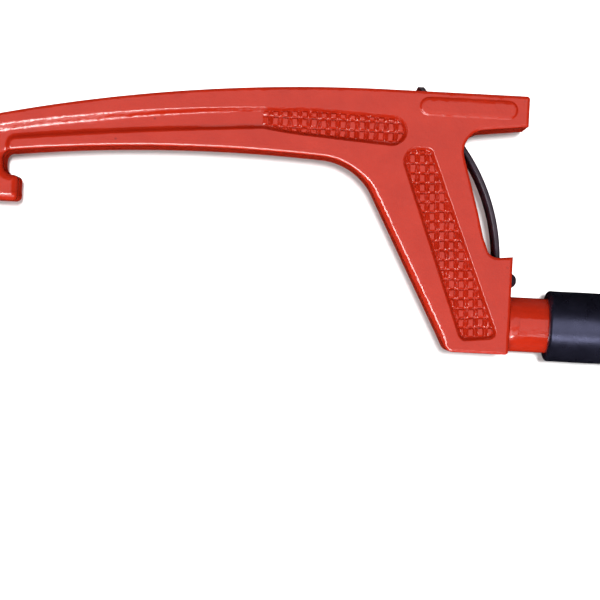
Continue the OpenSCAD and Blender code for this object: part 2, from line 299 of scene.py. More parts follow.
def arm_panel():
    """Outline of the arm's groove, open onto the neck at its left, and the round-ended panel."""
    def flange_low(x):
        return arm_under(x) + LOW_INSET + LOW_GROWTH * (x - LOW_FLANGE_X)**2

    def flange_high(x):
        return arm_top(x) - TOP_INSET - TOP_GROWTH * (x - LOW_FLANGE_X)

    neck_y = FOOT_TOP_Y + PAD_FILLET_R
    low_y = FOOT_FACE_Y - PAD_MARGIN
    around = FOOT_HALF + PAD_MARGIN
    corner_x = LOW_FLANGE_X + FLANGE_END_R
    corner = (corner_x, float(flange_low(corner_x)) - FLANGE_END_R)
    return np.concatenate([
        [(GROOVE_START, float(arm_under(GROOVE_START))), (FOOT_X - around, neck_y),
         (FOOT_X - around, low_y), (FOOT_X + around, low_y),
         (FOOT_X + around, neck_y), (LOW_FLANGE_X, neck_y)],
        arc(corner, FLANGE_END_R, 180, 95, 0.4),
        curve(flange_low, corner_x, GROOVE_END, 120),
        WAIST_LOW,
        arc(ARM_PANEL_C, ARM_PANEL_R, -92, 88, 0.5),
        WAIST_TOP,
        curve(flange_high, GROOVE_END, GROOVE_START, 120),
    ])


def leg_panel():
    """Outline of the leg's panel, a slanted oblong with a large round corner at its top."""
    return np.concatenate([arc(*corner) for corner in LEG_CORNERS])


def plate():
    """Outline of the raised oblong plate on the nose."""
    r = PLATE_SIZE[1] / 2
    reach = PLATE_SIZE[0] / 2 - r
    return np.concatenate([arc(PLATE_MID + (reach, 0), r, -90, 90, 0.4),
                           arc(PLATE_MID - (reach, 0), r, 90, 270, 0.4)])


def resample(points, step):
    """The closed outline with its long straight runs cut into steps, and no doubled points."""
    out = []
    for a, b in zip(points, np.roll(points, -1, axis=0)):
        length = np.hypot(*(b - a))
        if length < 0.02:
            continue
        n = max(1, int(round(length / step)))
        out += [a + (b - a) * i / n for i in range(n)]
    return np.array(out)


def counterclockwise(loop):
    x, y = loop.T
    area = (x * np.roll(y, -1) - np.roll(x, -1) * y).sum()
    return loop if area > 0 else loop[::-1]


def depth_inside(points, loop):
    """Distance of each point from the closed loop, positive inside."""
    a, b = loop, np.roll(loop, -1, axis=0)
    out = np.empty(len(points))
    for start in range(0, len(points), 4000):
        p = points[start:start + 4000, None, :]
        ab = b - a
        t = np.clip(((p - a) * ab).sum(2) / (ab * ab).sum(1), 0, 1)
        away = p - a - t[..., None] * ab
        near = np.sqrt((away * away).sum(2).min(1))
        above = (a[:, 1] > p[..., 1]) != (b[:, 1] > p[..., 1])
        rise = np.where(ab[:, 1] == 0, 1e-12, ab[:, 1])
        crossing = above & (p[..., 0] < a[:, 0] + ab[:, 0] * (p[..., 1] - a[:, 1]) / rise)
        out[start:start + 4000] = np.where(crossing.sum(1) % 2 == 1, near, -near)
    return out


def outward(loop):
    """Unit normals of an anticlockwise loop's points."""
    edge = np.roll(loop, -1, axis=0) - loop
    edge /= np.hypot(*edge.T)[:, None]
    both = edge + np.roll(edge, 1, axis=0)
    both /= np.hypot(*both.T)[:, None]
    return np.stack([both[:, 1], -both[:, 0]], axis=1)


# ---------------------------------------------------------------- relief of the casting's faces
def ease(t):
    """A smooth step from 0 to 1."""
    t = np.clip(t, 0, 1)
    return t * t * (3 - 2 * t)


def ripple(x, y):
    """The slow unevenness of a sand casting under enamel, in millimetres."""
    return (0.035 * np.sin(0.71 * x + 0.43 * y + 1.3) * np.cos(0.38 * x - 0.83 * y)
            + 0.03 * np.sin(1.37 * x - 0.9 * y + 0.4) * np.sin(0.52 * x + 1.21 * y + 2.0)
            + 0.02 * np.sin(2.3 * x + 1.9 * y) * np.cos(2.05 * y - 1.6 * x))


def weave(x, y, turn, origin):
    """Height of the basket weave: flat blocks in rows, with a lower rib between two blocks."""
    a = math.radians(turn)
    u = (x * math.cos(a) + y * math.sin(a) - origin[0]) / CELL
    v = (-x * math.sin(a) + y * math.cos(a) - origin[1]) / CELL
    u = u + 0.02 * np.sin(2.1 * v) + 0.015 * np.sin(5.3 * v + 1.9 * u)
    v = v + 0.02 * np.sin(1.7 * u) + 0.015 * np.sin(4.1 * u + 2.3 * v)
    from_gap = 1 - np.abs(2 * (u - np.floor(u)) - 1)
    from_row = 1 - np.abs(2 * (v - np.floor(v)) - 1)
    rows = ease((from_row - 0.06) / 0.26)
    block = ease((from_gap - 0.30) / 0.22) * (0.93 + 0.07 * from_gap) * (0.90 + 0.10 * from_row)
    block += 0.035 * np.cos(6 * math.pi * u) * ease((from_gap - 0.5) / 0.2)
    rib = 0.62 * ease((0.24 - from_gap) / 0.2)
    uneven = (1 + 0.07 * np.sin(2.4 * np.floor(u) + 1.7 * np.floor(v))
              + 0.05 * np.sin(4.7 * u - 3.1 * v))
    return WEAVE_HIGH * rows * np.maximum(block, rib) * uneven


def face_height(points, outlines, front):
    """Height of the casting's face above its middle plane at each point, in millimetres."""
    x, y = points.T
    d = depth_inside(points, outlines["side"])
    boss = np.sqrt(np.clip(HALF**2 - (x - FOOT_X)**2, 0, None))
    # The arm's end is round across its thickness; the neck and pad below it are flat
    boss += (HALF - boss) * ease((arm_under(FOOT_X) - 1 - y) / 3)
    high = np.where(x < FOOT_X, boss, HALF) + ripple(x, y) * ease(d / 2)
    arm = depth_inside(points, outlines["arm"])
    leg = depth_inside(points, outlines["leg"])
    # The walls of the groove are long slopes at its left and short ones where it meets the panel
    upper = y > (arm_top(x) + arm_under(x)) / 2
    extra = np.where(upper, TOP_WALL_EXTRA, LOW_WALL_EXTRA)
    wide = WALL_WIDE + extra * np.clip((GROOVE_END - x) / WALL_SLOPE_RUN, 0, 1)
    sunk = np.clip(high - (HALF - RECESS), 0, None)
    high = high - sunk * ease((arm + WALL_START) / wide)
    high -= LEG_DEPTH * ease((leg + WALL_START) / LEG_WALL_WIDE)
    high += weave(x, y, *ARM_WEAVE) * ease((arm - 1.0) / 0.7) * ease((x + 120) / 5)
    high += weave(x, y, *LEG_WEAVE) * ease((leg - 1.0) / 0.7)
    if front:
        raised = depth_inside(points, outlines["plate"])
        high += PLATE_HIGH * ease((raised + 0.2) / 0.9)
    # The palm edge, where the hand pushes, is rounder than the others
    slant = math.radians(PALM_SLANT)
    from_palm = ((x - PALM_FOOT[0]) * math.cos(slant)
                 + (y - PALM_FOOT[1]) * math.sin(slant))
    palm = ease((9 - from_palm) / 3) * ease((y + 14) / 8) * ease((70 - y) / 12)
    r = EDGE_R + (PALM_EDGE_R - EDGE_R) * palm
    r = r - PAD_EDGE_LESS * ease(FOOT_FACE_Y + FOOT_EDGE_R + 1 - y) * (x < PAD_END_X)
    t = np.clip(1 - d / r, 0, 1)
    high -= r * (1 - np.sqrt(np.clip(1 - t * t, 0, None)))
    # Chamfer along the pad's two lower edges
    cut = np.where(x < PAD_END_X, np.clip(FOOT_EDGE_R - y + FOOT_FACE_Y, 0, FOOT_EDGE_R), 0)
    high -= CHAMFER_SLOPE * cut * cut / (cut + CHAMFER_BLEND)
    return np.maximum(high, 0.02)


def face_points(outlines):
    """Points to triangulate a face with: rings along each outline, a fine net on the weave."""
    side = outlines["side"]
    rings = [side]
    spread = {"side": (0.06, 0.2, 0.42, 0.75, 1.1, 1.5, 2.0, 2.6, 3.3),
              "arm": (-0.6, -0.35, 0.0, 0.35, 0.7, 1.05, 1.5, 2.1, 2.8, 3.5),
              "leg": (-0.6, -0.35, 0.0, 0.35, 0.7, 1.05, 1.4),
              "plate": (-0.4, -0.15, 0.1, 0.4, 0.7)}
    for name, depths in spread.items():
        loop = outlines[name]
        normals = outward(loop)
        for d in depths:
            ring = loop - normals * d
            true = depth_inside(ring, loop)
            keep = np.abs(true) > 0.85 * abs(d) - 0.01
            if name != "side":
                keep &= depth_inside(ring, side) > 0.3
            rings.append(ring[keep])
    low, high = side.min(0), side.max(0)

    def net(step, name, least, turn=0.0, stagger=0.5):
        """A net of points, turned by some degrees, at least that far inside a loop."""
        a = math.radians(turn)
        across = np.array([[math.cos(a), math.sin(a)], [-math.sin(a), math.cos(a)]])
        reach = np.hypot(*(high - low)) / 2
        rise = step * (0.866 if stagger else 1.0)
        gx, gy = np.meshgrid(np.arange(-reach, reach, step), np.arange(-reach, reach, rise))
        gx = gx + (np.arange(len(gx))[:, None] % 2) * step * stagger
        p = np.stack([gx.ravel(), gy.ravel()], axis=1) @ across + (low + high) / 2
        box_low, box_high = outlines[name].min(0), outlines[name].max(0)
        p = p[((p > box_low) & (p < box_high)).all(1)]
        p = p[depth_inside(p, side) > 0.3]
        return p[depth_inside(p, outlines[name]) > least]

    fine = CELL / 14
    arm_net = net(fine, "arm", 1.2, ARM_WEAVE[0], 0.0)
    leg_net = net(fine, "leg", 1.0, LEG_WEAVE[0], 0.0)
    groove = net(0.9, "arm", 3.0)
    coarse = net(2.2, "side", 3.0)
    for name in ("arm", "leg", "plate"):
        coarse = coarse[depth_inside(coarse, outlines[name]) < -1.2]
    plate_net = net(1.5, "plate", 1.2)
    return np.concatenate(rings + [arm_net[arm_net[:, 0] > GROOVE_END - 4], leg_net,
                                   groove[groove[:, 0] < GROOVE_END - 4], coarse, plate_net])


def casting_mesh():
    """Vertices and faces of the casting's body: two relief faces and the wall between them."""
    outlines = {"side": resample(counterclockwise(side_outline()), 1.1),
                "arm": resample(counterclockwise(arm_panel()), 0.9),
                "leg": resample(counterclockwise(leg_panel()), 0.8),
                "plate": resample(counterclockwise(plate()), 1.0)}
    points = np.round(face_points(outlines), 4)
    n = len(outlines["side"])
    co, _, tris, origins, _, _ = geometry.delaunay_2d_cdt(
        [Vector(p) for p in points], [], [list(range(n))], 1, 1e-5)
    flat = np.array([c[:] for c in co])
    where = {}
    for i, sources in enumerate(origins):
        for s in sources:
            if s < n:
                where[s] = i
    rim = [where[i] for i in range(n)]
    tris = np.array([t for t in tris if len(t) == 3])
    a, b, c = (flat[tris[:, i]] for i in range(3))
    turn = (b - a)[:, 0] * (c - a)[:, 1] - (b - a)[:, 1] * (c - a)[:, 0]
    tris[turn < 0] = tris[turn < 0][:, ::-1]
    front = face_height(flat, outlines, True)
    back = face_height(flat, outlines, False)
    m = len(flat)
    verts = np.concatenate([np.column_stack([flat, front]), np.column_stack([flat, -back])])
    faces = [tuple(t) for t in tris] + [tuple(int(i) + m for i in t[::-1]) for t in tris]
    normals = outward(outlines["side"])
    # Wall rows from the front edge to the back edge, drawn in except at the parting line
    loops = [rim]
    for k in range(1, WALL_ROWS):
        share = k / WALL_ROWS
        z = front[rim] * (1 - share) - back[rim] * share
        inset = (PARTING_INSET * ease((np.abs(z) - 0.25) / 0.5)
                 * np.clip(front[rim] / 4, 0, 1))
        xy = flat[rim] - normals * inset[:, None] * min(1, 3 * min(share, 1 - share) + 0.4)
        start = len(verts)
        verts = np.concatenate([verts, np.column_stack([xy, z])])
        loops.append(list(range(start, start + n)))
    loops.append([i + m for i in rim])
    for top, low in zip(loops, loops[1:]):
        faces += [(top[i], low[i], low[(i + 1) % n], top[(i + 1) % n]) for i in range(n)]
    return verts, faces


# ---------------------------------------------------------------- mesh tools
def piece(name, verts, faces, material, angle=38):
    """A new object from millimetre vertices in the drawing frame, smooth but for sharp edges."""
    mesh = bpy.data.meshes.new(name)
    mesh.from_pydata([tuple(ORIGIN + Vector(map(float, v)) * MM) for v in verts], [], faces)
    obj = bpy.data.objects.new(name, mesh)
    bpy.context.scene.collection.objects.link(obj)
    if material:
        mesh.materials.append(material)
    tidy_mesh(obj, angle)
    return obj


def tidy_mesh(obj, angle=38):
    """Joins doubled points, makes the normals agree and marks sharp edges."""
    bm = bmesh.new()
    bm.from_mesh(obj.data)
    bmesh.ops.remove_doubles(bm, verts=bm.verts, dist=1e-7)
    bmesh.ops.recalc_face_normals(bm, faces=bm.faces)
    for f in bm.faces:
        f.smooth = True
    bm.to_mesh(obj.data)
    bm.free()
    obj.data.set_sharp_from_angle(angle=math.radians(angle))


def revolve(profile, steps=96):
    """Vertices and faces of a profile of (radius, position) turned about X."""
    profile = np.asarray(profile, float)
    verts, faces = [], []
    a = np.linspace(0, 2 * math.pi, steps, endpoint=False)
    for r, s in profile:
        verts += [(s, r * math.cos(t), r * math.sin(t)) for t in a]
    for k in range(len(profile) - 1):
        for i in range(steps):
            j = (i + 1) % steps
            a0, b0 = k * steps, (k + 1) * steps
            faces.append((a0 + i, a0 + j, b0 + j, b0 + i))
    if np.hypot(*(profile[0] - profile[-1])) > 1e-6:
        last = (len(profile) - 1) * steps
        faces += [tuple(range(steps))[::-1], tuple(range(last, last + steps))]
    return verts, faces


def prism(loop, z0, z1):
    """Vertices and faces of a loop extruded along Z."""
    n = len(loop)
    verts = [(x, y, z0) for x, y in loop] + [(x, y, z1) for x, y in loop]
    faces = [tuple(range(n))[::-1], tuple(range(n, 2 * n))]
    faces += [(i, (i + 1) % n, (i + 1) % n + n, i + n) for i in range(n)]
    return verts, faces


def rod(p, axis, r, length, steps=48):
    """Vertices and faces of a cylinder that starts at p and runs along X or Z."""
    a = np.linspace(0, 2 * math.pi, steps, endpoint=False)
    rings = []
    for s in (0, length):
        if axis == "x":
            rings += [(p[0] + s, p[1] + r * math.cos(t), p[2] + r * math.sin(t)) for t in a]
        else:
            rings += [(p[0] + r * math.cos(t), p[1] + r * math.sin(t), p[2] + s) for t in a]
    faces = [tuple(range(steps))[::-1], tuple(range(steps, 2 * steps))]
    faces += [(i, (i + 1) % steps, (i + 1) % steps + steps, i + steps) for i in range(steps)]
    return rings, faces


def applied(obj):
    """The mesh of obj with its modifiers applied."""
    bpy.context.view_layer.update()
    return bpy.data.meshes.new_from_object(
        obj.evaluated_get(bpy.context.evaluated_depsgraph_get()))


def boolean(obj, shapes, operation):
    """Cuts shapes out of obj, or joins them to it, one after another."""
    for verts, faces in shapes:
        tool = piece("tool", verts, faces, None)
        mod = obj.modifiers.new("bool", "BOOLEAN")
        mod.operation = operation
        mod.solver = "MANIFOLD"
        mod.object = tool
        made = applied(obj)
        obj.modifiers.remove(mod)
        old = obj.data
        obj.data = made
        bpy.data.meshes.remove(old)
        bpy.data.objects.remove(tool)


def soften(obj, width, segments=2, angle=40):
    """Rounds the sharp edges by width millimetres, and applies it."""
    mod = obj.modifiers.new("bevel", "BEVEL")
    mod.width = width * MM
    mod.segments = segments
    mod.limit_method = "ANGLE"
    mod.angle_limit = math.radians(angle)
    mod.harden_normals = False
    made = applied(obj)
    obj.modifiers.remove(mod)
    obj.data = made
    for f in made.polygons:
        f.use_smooth = True
    made.set_sharp_from_angle(angle=math.radians(50))


def finish_cut(obj, material):
    """Cleans a mesh after its booleans, which leave a slot for each tool's missing material."""
    tidy_mesh(obj, 42)
    obj.data.materials.clear()
    obj.data.materials.append(material)


def place(obj, body, node):
    """Rides obj on the body, in place of the CAD node, which it hides."""
    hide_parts(node)
    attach(obj, body)
    return obj


# ---------------------------------------------------------------- materials
def new_material(name):
    m = bpy.data.materials.new(name)
    m.use_nodes = True
    tree = m.node_tree
    return m, tree, tree.nodes["Principled BSDF"]


def node(tree, kind, **values):
    """A new node with those inputs and settings."""
    made = tree.nodes.new(kind)
    for key, value in values.items():
        if key in made.inputs:
            made.inputs[key].default_value = value
        else:
            setattr(made, key, value)
    return made


def ramp(tree, source, stops):
    """A colour ramp, or a grey one where a stop has a single value."""
    made = node(tree, "ShaderNodeValToRGB")
    elements = made.color_ramp.elements
    while len(elements) < len(stops):
        elements.new(0.5)
    for e, (at, colour) in zip(elements, stops):
        e.position = at
        e.color = (*colour, 1) if len(colour) == 3 else (colour[0],) * 3 + (1,)
    tree.links.new(source, made.inputs["Fac"])
    return made


def object_noise(tree, scale, detail):
    """Noise in the object's own metres: its value, and the coordinates it reads."""
    where = node(tree, "ShaderNodeTexCoord")
    made = node(tree, "ShaderNodeTexNoise", Scale=scale, Detail=detail)
    tree.links.new(where.outputs["Object"], made.inputs["Vector"])
    return made.outputs["Fac"], where.outputs["Object"]


def bump(tree, height, distance, strength=1.0, before=None):
    made = node(tree, "ShaderNodeBump", Strength=strength, Distance=distance)
    tree.links.new(height, made.inputs["Height"])
    if before:
        tree.links.new(before.outputs["Normal"], made.inputs["Normal"])
    return made


def enamel():
    """Glossy red baked enamel over a sand casting: orange peel, slow ripples and small pits, which are dented and
    darkened with painted shade.
    """
    m, tree, bsdf = new_material("red_enamel")
    tone, where = object_noise(tree, 90, 4)
    colour = ramp(tree, tone, [(0.3, (0.35, 0.0145, 0.0038)), (0.7, (0.39, 0.0180, 0.0052))])
    spots = node(tree, "ShaderNodeTexVoronoi", Scale=170, feature="F1")
    tree.links.new(where, spots.inputs["Vector"])
    rare, _ = object_noise(tree, 60, 1)
    gate = ramp(tree, rare, [(0.62, (0,)), (0.70, (1,))])
    pit = ramp(tree, spots.outputs["Distance"], [(0.04, (1,)), (0.14, (0,))])
    pit_dents_and_shade = node(tree, "ShaderNodeMath", operation="MULTIPLY")
    tree.links.new(gate.outputs["Color"], pit_dents_and_shade.inputs[0])
    tree.links.new(pit.outputs["Color"], pit_dents_and_shade.inputs[1])
    # Painted shade: the pits are mixed towards a darker red in the base colour, as shade in small hollows; the
    # same mask dents them in the bump below.
    mix = node(tree, "ShaderNodeMix", data_type="RGBA")
    mix.inputs["B"].default_value = (0.15, 0.005, 0.004, 1)
    tree.links.new(pit_dents_and_shade.outputs[0], mix.inputs["Factor"])
    tree.links.new(colour.outputs["Color"], mix.inputs["A"])
    tree.links.new(mix.outputs["Result"], bsdf.inputs["Base Color"])
    gloss, _ = object_noise(tree, 220, 2)
    rough = ramp(tree, gloss, [(0.3, (0.12,)), (0.75, (0.22,))])
    tree.links.new(rough.outputs["Color"], bsdf.inputs["Roughness"])
    peel, _ = object_noise(tree, 700, 2)
    wave, _ = object_noise(tree, 330, 2)
    sink = node(tree, "ShaderNodeMath", operation="SUBTRACT")
    sink.inputs[0].default_value = 1.0
    tree.links.new(pit_dents_and_shade.outputs[0], sink.inputs[1])
    first = bump(tree, sink.outputs[0], 0.00015, 0.5)
    second = bump(tree, wave, 0.0006, 0.35, first)
    third = bump(tree, peel, 0.00012, 0.25, second)
    tree.links.new(third.outputs["Normal"], bsdf.inputs["Normal"])
    return m


def black_oxide_and_sheen():
    """Blackened steel with rolled-stock streaks, and a plum tint in its colour that paints a faint sheen on its
    faces.
    """
    m, tree, bsdf = new_material("black_oxide_and_sheen")
    tone, _ = object_noise(tree, 160, 4)
    # Painted sheen: the plum tint of both colour stops stands in for light on the faces.
    colour = ramp(tree, tone, [(0.3, (0.018, 0.0115, 0.019)), (0.75, (0.040, 0.021, 0.036))])
    tree.links.new(colour.outputs["Color"], bsdf.inputs["Base Color"])
    rub, _ = object_noise(tree, 500, 3)
    rough = ramp(tree, rub, [(0.3, (0.34,)), (0.75, (0.5,))])
    tree.links.new(rough.outputs["Color"], bsdf.inputs["Roughness"])
    scratch, _ = object_noise(tree, 1500, 2)
    tree.links.new(bump(tree, scratch, 0.00005, 0.3).outputs["Normal"], bsdf.inputs["Normal"])
    bsdf.inputs["Metallic"].default_value = 0.2
    return m


def steel(name, low, high, rough_low, rough_high):
    """Plain turned steel or wire, with fine tool marks."""
    m, tree, bsdf = new_material(name)
    tone, _ = object_noise(tree, 300, 4)
    colour = ramp(tree, tone, [(0.3, low), (0.75, high)])
    tree.links.new(colour.outputs["Color"], bsdf.inputs["Base Color"])
    rub, _ = object_noise(tree, 900, 3)
    rough = ramp(tree, rub, [(0.3, (rough_low,)), (0.75, (rough_high,))])
    tree.links.new(rough.outputs["Color"], bsdf.inputs["Roughness"])
    marks, _ = object_noise(tree, 2500, 2)
    tree.links.new(bump(tree, marks, 0.00003, 0.25).outputs["Normal"], bsdf.inputs["Normal"])
    bsdf.inputs["Metallic"].default_value = 1.0
    return m


def grip_vinyl():
    """Satin black dipped vinyl: blue-black, fine grain and soft uneven gloss."""
    m, tree, bsdf = new_material("grip_vinyl")
    tone, _ = object_noise(tree, 110, 4)
    colour = ramp(tree, tone, [(0.3, (0.0045, 0.0042, 0.0085)), (0.75, (0.009, 0.0085, 0.016))])
    tree.links.new(colour.outputs["Color"], bsdf.inputs["Base Color"])
    rub, _ = object_noise(tree, 350, 3)
    rough = ramp(tree, rub, [(0.3, (0.26,)), (0.75, (0.38,))])
    tree.links.new(rough.outputs["Color"], bsdf.inputs["Roughness"])
    grain, _ = object_noise(tree, 1300, 3)
    wave, _ = object_noise(tree, 90, 2)
    first = bump(tree, wave, 0.0008, 0.2)
    tree.links.new(bump(tree, grain, 0.00006, 0.4, first).outputs["Normal"], bsdf.inputs["Normal"])
    bsdf.inputs["IOR"].default_value = 1.75
    bsdf.inputs["Specular IOR Level"].default_value = 0.9
    bsdf.inputs["Specular Tint"].default_value = (0.58, 0.60, 1.0, 1)
    return m


RED = enamel()
OXIDE_AND_SHEEN = black_oxide_and_sheen()
STEEL = steel("turned_steel", (0.42, 0.43, 0.45), (0.60, 0.61, 0.63), 0.24, 0.38)
WIRE = steel("spring_wire", (0.36, 0.37, 0.39), (0.52, 0.53, 0.55), 0.22, 0.32)
BRONZE = steel("bush_bronze", (0.42, 0.25, 0.10), (0.58, 0.37, 0.16), 0.32, 0.46)
VINYL = grip_vinyl()


# ---------------------------------------------------------------- pieces
def bow(r, a):
    """Points of the lever's bow at radius r and an angle in degrees."""
    a = np.radians(a)
    return np.stack([BOW_C[0] + r * np.cos(a), BOW_C[1] + r * np.sin(a)], axis=-1)


SHANK_DIR = np.array([-math.sin(math.radians(SHANK_TILT)), math.cos(math.radians(SHANK_TILT))])
SHANK_0 = bow(BOW_R - LEVER_THICK / 2, SHANK_TILT)
TIP_S = (TOP_Y + TIP_OUT - SHANK_0[1]) / math.cos(math.radians(SHANK_TILT)) + LEVER_THICK
BOW_LOW_A = math.degrees(math.asin((BOW_LOW_Y - BOW_C[1]) / BOW_R))


def turned_about(points, c, degrees):
    """The points turned about c."""
    a = math.radians(degrees)
    d = points - c
    return c + np.stack([d[:, 0] * math.cos(a) - d[:, 1] * math.sin(a),
                         d[:, 0] * math.sin(a) + d[:, 1] * math.cos(a)], axis=1)


def slot_shapes():
    """Solids to cut out of the casting for the lever, its pin, screw, spring and the bar."""
    wide = LEVER_W / 2 + SLOT_PLAY
    rest = bow(BOW_R + REST_GAP, np.linspace(BOW_LOW_A - 2, SHANK_TILT, 41))
    inner = bow(BOW_R - LEVER_THICK - SWING_GAP, np.linspace(SHANK_TILT, BOW_LOW_A, 41))
    full = turned_about(inner, PIVOT, -TRAVEL)
    sweep = np.concatenate([[(rest[0][0], SLOT_LOW_Y)], rest, full,
                            [(full[-1][0], SLOT_LOW_Y)]])
    across = np.array([SHANK_DIR[1], -SHANK_DIR[0]]) * (LEVER_THICK / 2 + CHANNEL_GAP)
    start, end = SHANK_0 - 2 * SHANK_DIR, SHANK_0 + (TIP_S + 4) * SHANK_DIR
    channel = np.array([start + across, end + across, end - across, start - across])
    return [prism(counterclockwise(sweep), -wide, wide),
            prism(counterclockwise(channel), -wide, wide),
            prism(arc(PIVOT, EYE_R + 0.4, 0, 352, 0.5), -wide, wide),
            rod((*PIVOT, -HALF - 1), "z", PIN_R, 2 * HALF - 1),
            rod((*PIVOT, -HALF - 1), "z", PLUG_R, 3.0),
            rod((POCKET_X, SCREW_Y, 0), "x", POCKET_R, 14),
            rod((SCREW_X, SCREW_Y, 0), "x", SCREW_HOLE_R, 30),
            rod((-SPIGOT, 0, 0), "x", SPIGOT_R, 30),
            rod((LOCK_PIN_X, 0, -HALF - 1), "z", PIN_R, 22.0)]


def make_casting():
    """Arm, foot, leg, nose and block, cut for the lever, its screw and pin, and the bar."""
    verts, faces = casting_mesh()
    obj = piece("arm_casting_body", verts, faces, RED)
    boolean(obj, slot_shapes(), "DIFFERENCE")
    finish_cut(obj, RED)
    return place(obj, "frame", "arm_casting")


def above_tip():
    """A box whose underside cuts the lever's tip level, just above the casting's top."""
    x, y = SHANK_0[0] + TIP_S * SHANK_DIR[0], TOP_Y + TIP_OUT
    loop = np.array([(x - 10, y), (x + 10, y), (x + 10, y + 10), (x - 10, y + 10)])
    return prism(loop, -LEVER_W, LEVER_W)


def make_lever():
    """Bowed strip with rounded edges, straight shank with a level tip, eye and screw hole."""
    mid_r = BOW_R - LEVER_THICK / 2
    angles = np.linspace(BOW_LOW_A, SHANK_TILT, 90)
    stations = [(bow(mid_r, a), np.radians(a)) for a in angles]
    stations += [(SHANK_0 + s * SHANK_DIR, math.radians(SHANK_TILT))
                 for s in np.linspace(1, TIP_S, 34)]
    corner_x, corner_z = LEVER_THICK / 2 - LEVER_CORNER_R, LEVER_W / 2 - LEVER_CORNER_R
    section = []
    for sx, sz, a0 in ((1, 1, 0), (-1, 1, 90), (-1, -1, 180), (1, -1, 270)):
        for p in arc((0, 0), LEVER_CORNER_R, a0, a0 + 90, 0.3):
            section.append((sx * corner_x + p[0], sz * corner_z + p[1]))
    n = len(section)
    verts, faces = [], []
    for k, (p, a) in enumerate(stations):
        size = LOW_END_SIZE if k == 0 else 1.0
        for s, z in section:
            s_in = s * size
            z_in = z - math.copysign((1 - size) * LEVER_THICK / 2, z)
            verts.append((p[0] + math.cos(a) * s_in, p[1] + math.sin(a) * s_in, z_in))
    for k in range(len(stations) - 1):
        for i in range(n):
            j = (i + 1) % n
            faces.append((k * n + i, k * n + j, (k + 1) * n + j, (k + 1) * n + i))
    faces.append(tuple(range(n)))
    faces.append(tuple(range((len(stations) - 1) * n, len(stations) * n))[::-1])
    obj = piece("squeeze_lever_strip", verts, faces, OXIDE_AND_SHEEN)
    eye = rod((*PIVOT, EYE_SINK - LEVER_W / 2), "z", EYE_R, LEVER_W - 2 * EYE_SINK)
    boolean(obj, [eye], "UNION")
    boolean(obj, [rod((*PIVOT, -LEVER_W), "z", BUSH_R, 2 * LEVER_W),
                  rod((-14, SCREW_Y + LEVER_HOLE_UP, 0), "x", LEVER_HOLE_R, 14),
                  above_tip()], "DIFFERENCE")
    finish_cut(obj, OXIDE_AND_SHEEN)
    return place(obj, "lever", "squeeze_lever")


def make_bar():
    """Enamelled bar with a smaller spigot in the block and a shallow milled flat."""
    profile = [(0.01, -SPIGOT), (SPIGOT_R - 0.6, -SPIGOT), (SPIGOT_R, -SPIGOT + 0.6),
               (SPIGOT_R, 0), (BAR_R - 0.3, 0), (BAR_R, 0.3), (BAR_R, 6), (BAR_R, 12),
               (BAR_R, BAR_END_X - 1), (BAR_R - 1, BAR_END_X), (0.01, BAR_END_X)]
    verts, faces = revolve(profile, steps=160)
    obj = piece("handle_bar_steel", verts, faces, RED)
    a = math.radians(FLAT_TURN)
    low, high = BAR_R - FLAT_DEPTH, BAR_R - FLAT_DEPTH + 3
    corners = []
    for x in FLAT_X:
        for s, h in ((-FLAT_HALF, low), (FLAT_HALF, low), (FLAT_HALF, high), (-FLAT_HALF, high)):
            corners.append((x, s * math.cos(a) - h * math.sin(a),
                            s * math.sin(a) + h * math.cos(a)))
    flat = (corners, [(0, 1, 2, 3), (7, 6, 5, 4), (0, 4, 5, 1), (1, 5, 6, 2), (2, 6, 7, 3),
                      (3, 7, 4, 0)])
    boolean(obj, [flat, rod((LOCK_PIN_X, 0, -9), "z", PIN_R, 18),
                  rod((BAR_END_X - 18, 0, 0), "x", END_HOLE_R, 20)], "DIFFERENCE")
    soften(obj, 0.25, 2, 30)
    return place(obj, "frame", "handle_bar")


def make_grip():
    """Moulded sleeve with a rounded lip and faint ripples along it."""
    bore = BAR_R + SLEEVE_PLAY
    profile = [(bore, GRIP_X1), (bore, GRIP_X0 + 0.3), (BAR_R + 0.4, GRIP_X0)]
    profile += [(r, x) for x, r in arc((GRIP_X0 + LIP_R, GRIP_R - LIP_R), LIP_R, 180, 90, 0.25)]
    profile += [(GRIP_R - RIPPLE_DEPTH - RIPPLE_DEPTH * math.sin(RIPPLE_RATE * x), x)
                for x in np.linspace(GRIP_X0 + 2.5, GRIP_X1 - 0.4, 90)]
    profile += [(GRIP_R - 0.3, GRIP_X1), (bore, GRIP_X1)]
    verts, faces = revolve(profile, steps=144)
    obj = piece("grip_sleeve_vinyl", verts, faces, VINYL)
    return place(obj, "frame", "grip_sleeve")


def make_cap():
    """End cap: plug inside the sleeve, rounded rim, a ring groove and a sunk seat."""
    plug_r = BAR_R - 0.1
    profile = [(CAP_HOLE_R, CAP_X0), (plug_r, CAP_X0), (plug_r, GRIP_X1),
               (GRIP_R - 0.35, GRIP_X1), (GRIP_R, GRIP_X1 + 0.4)]
    profile += [(r, x) for x, r in arc((CAP_X1 - LIP_R, GRIP_R - LIP_R), LIP_R, 90, 0, 0.25)]
    profile += [(12.4, CAP_X1), (12.0, CAP_X1 - 0.5), (11.4, CAP_X1 - 0.5), (11.0, CAP_X1),
                (CAP_SEAT_R + 0.4, CAP_X1), (CAP_SEAT_R, CAP_X1 - 0.4), (CAP_SEAT_R, CAP_SEAT_X),
                (CAP_HOLE_R, CAP_SEAT_X), (CAP_HOLE_R, CAP_X0)]
    verts, faces = revolve(profile, steps=144)
    obj = piece("grip_end_cap_moulded", verts, faces, VINYL, 30)
    return place(obj, "frame", "grip_end_cap")


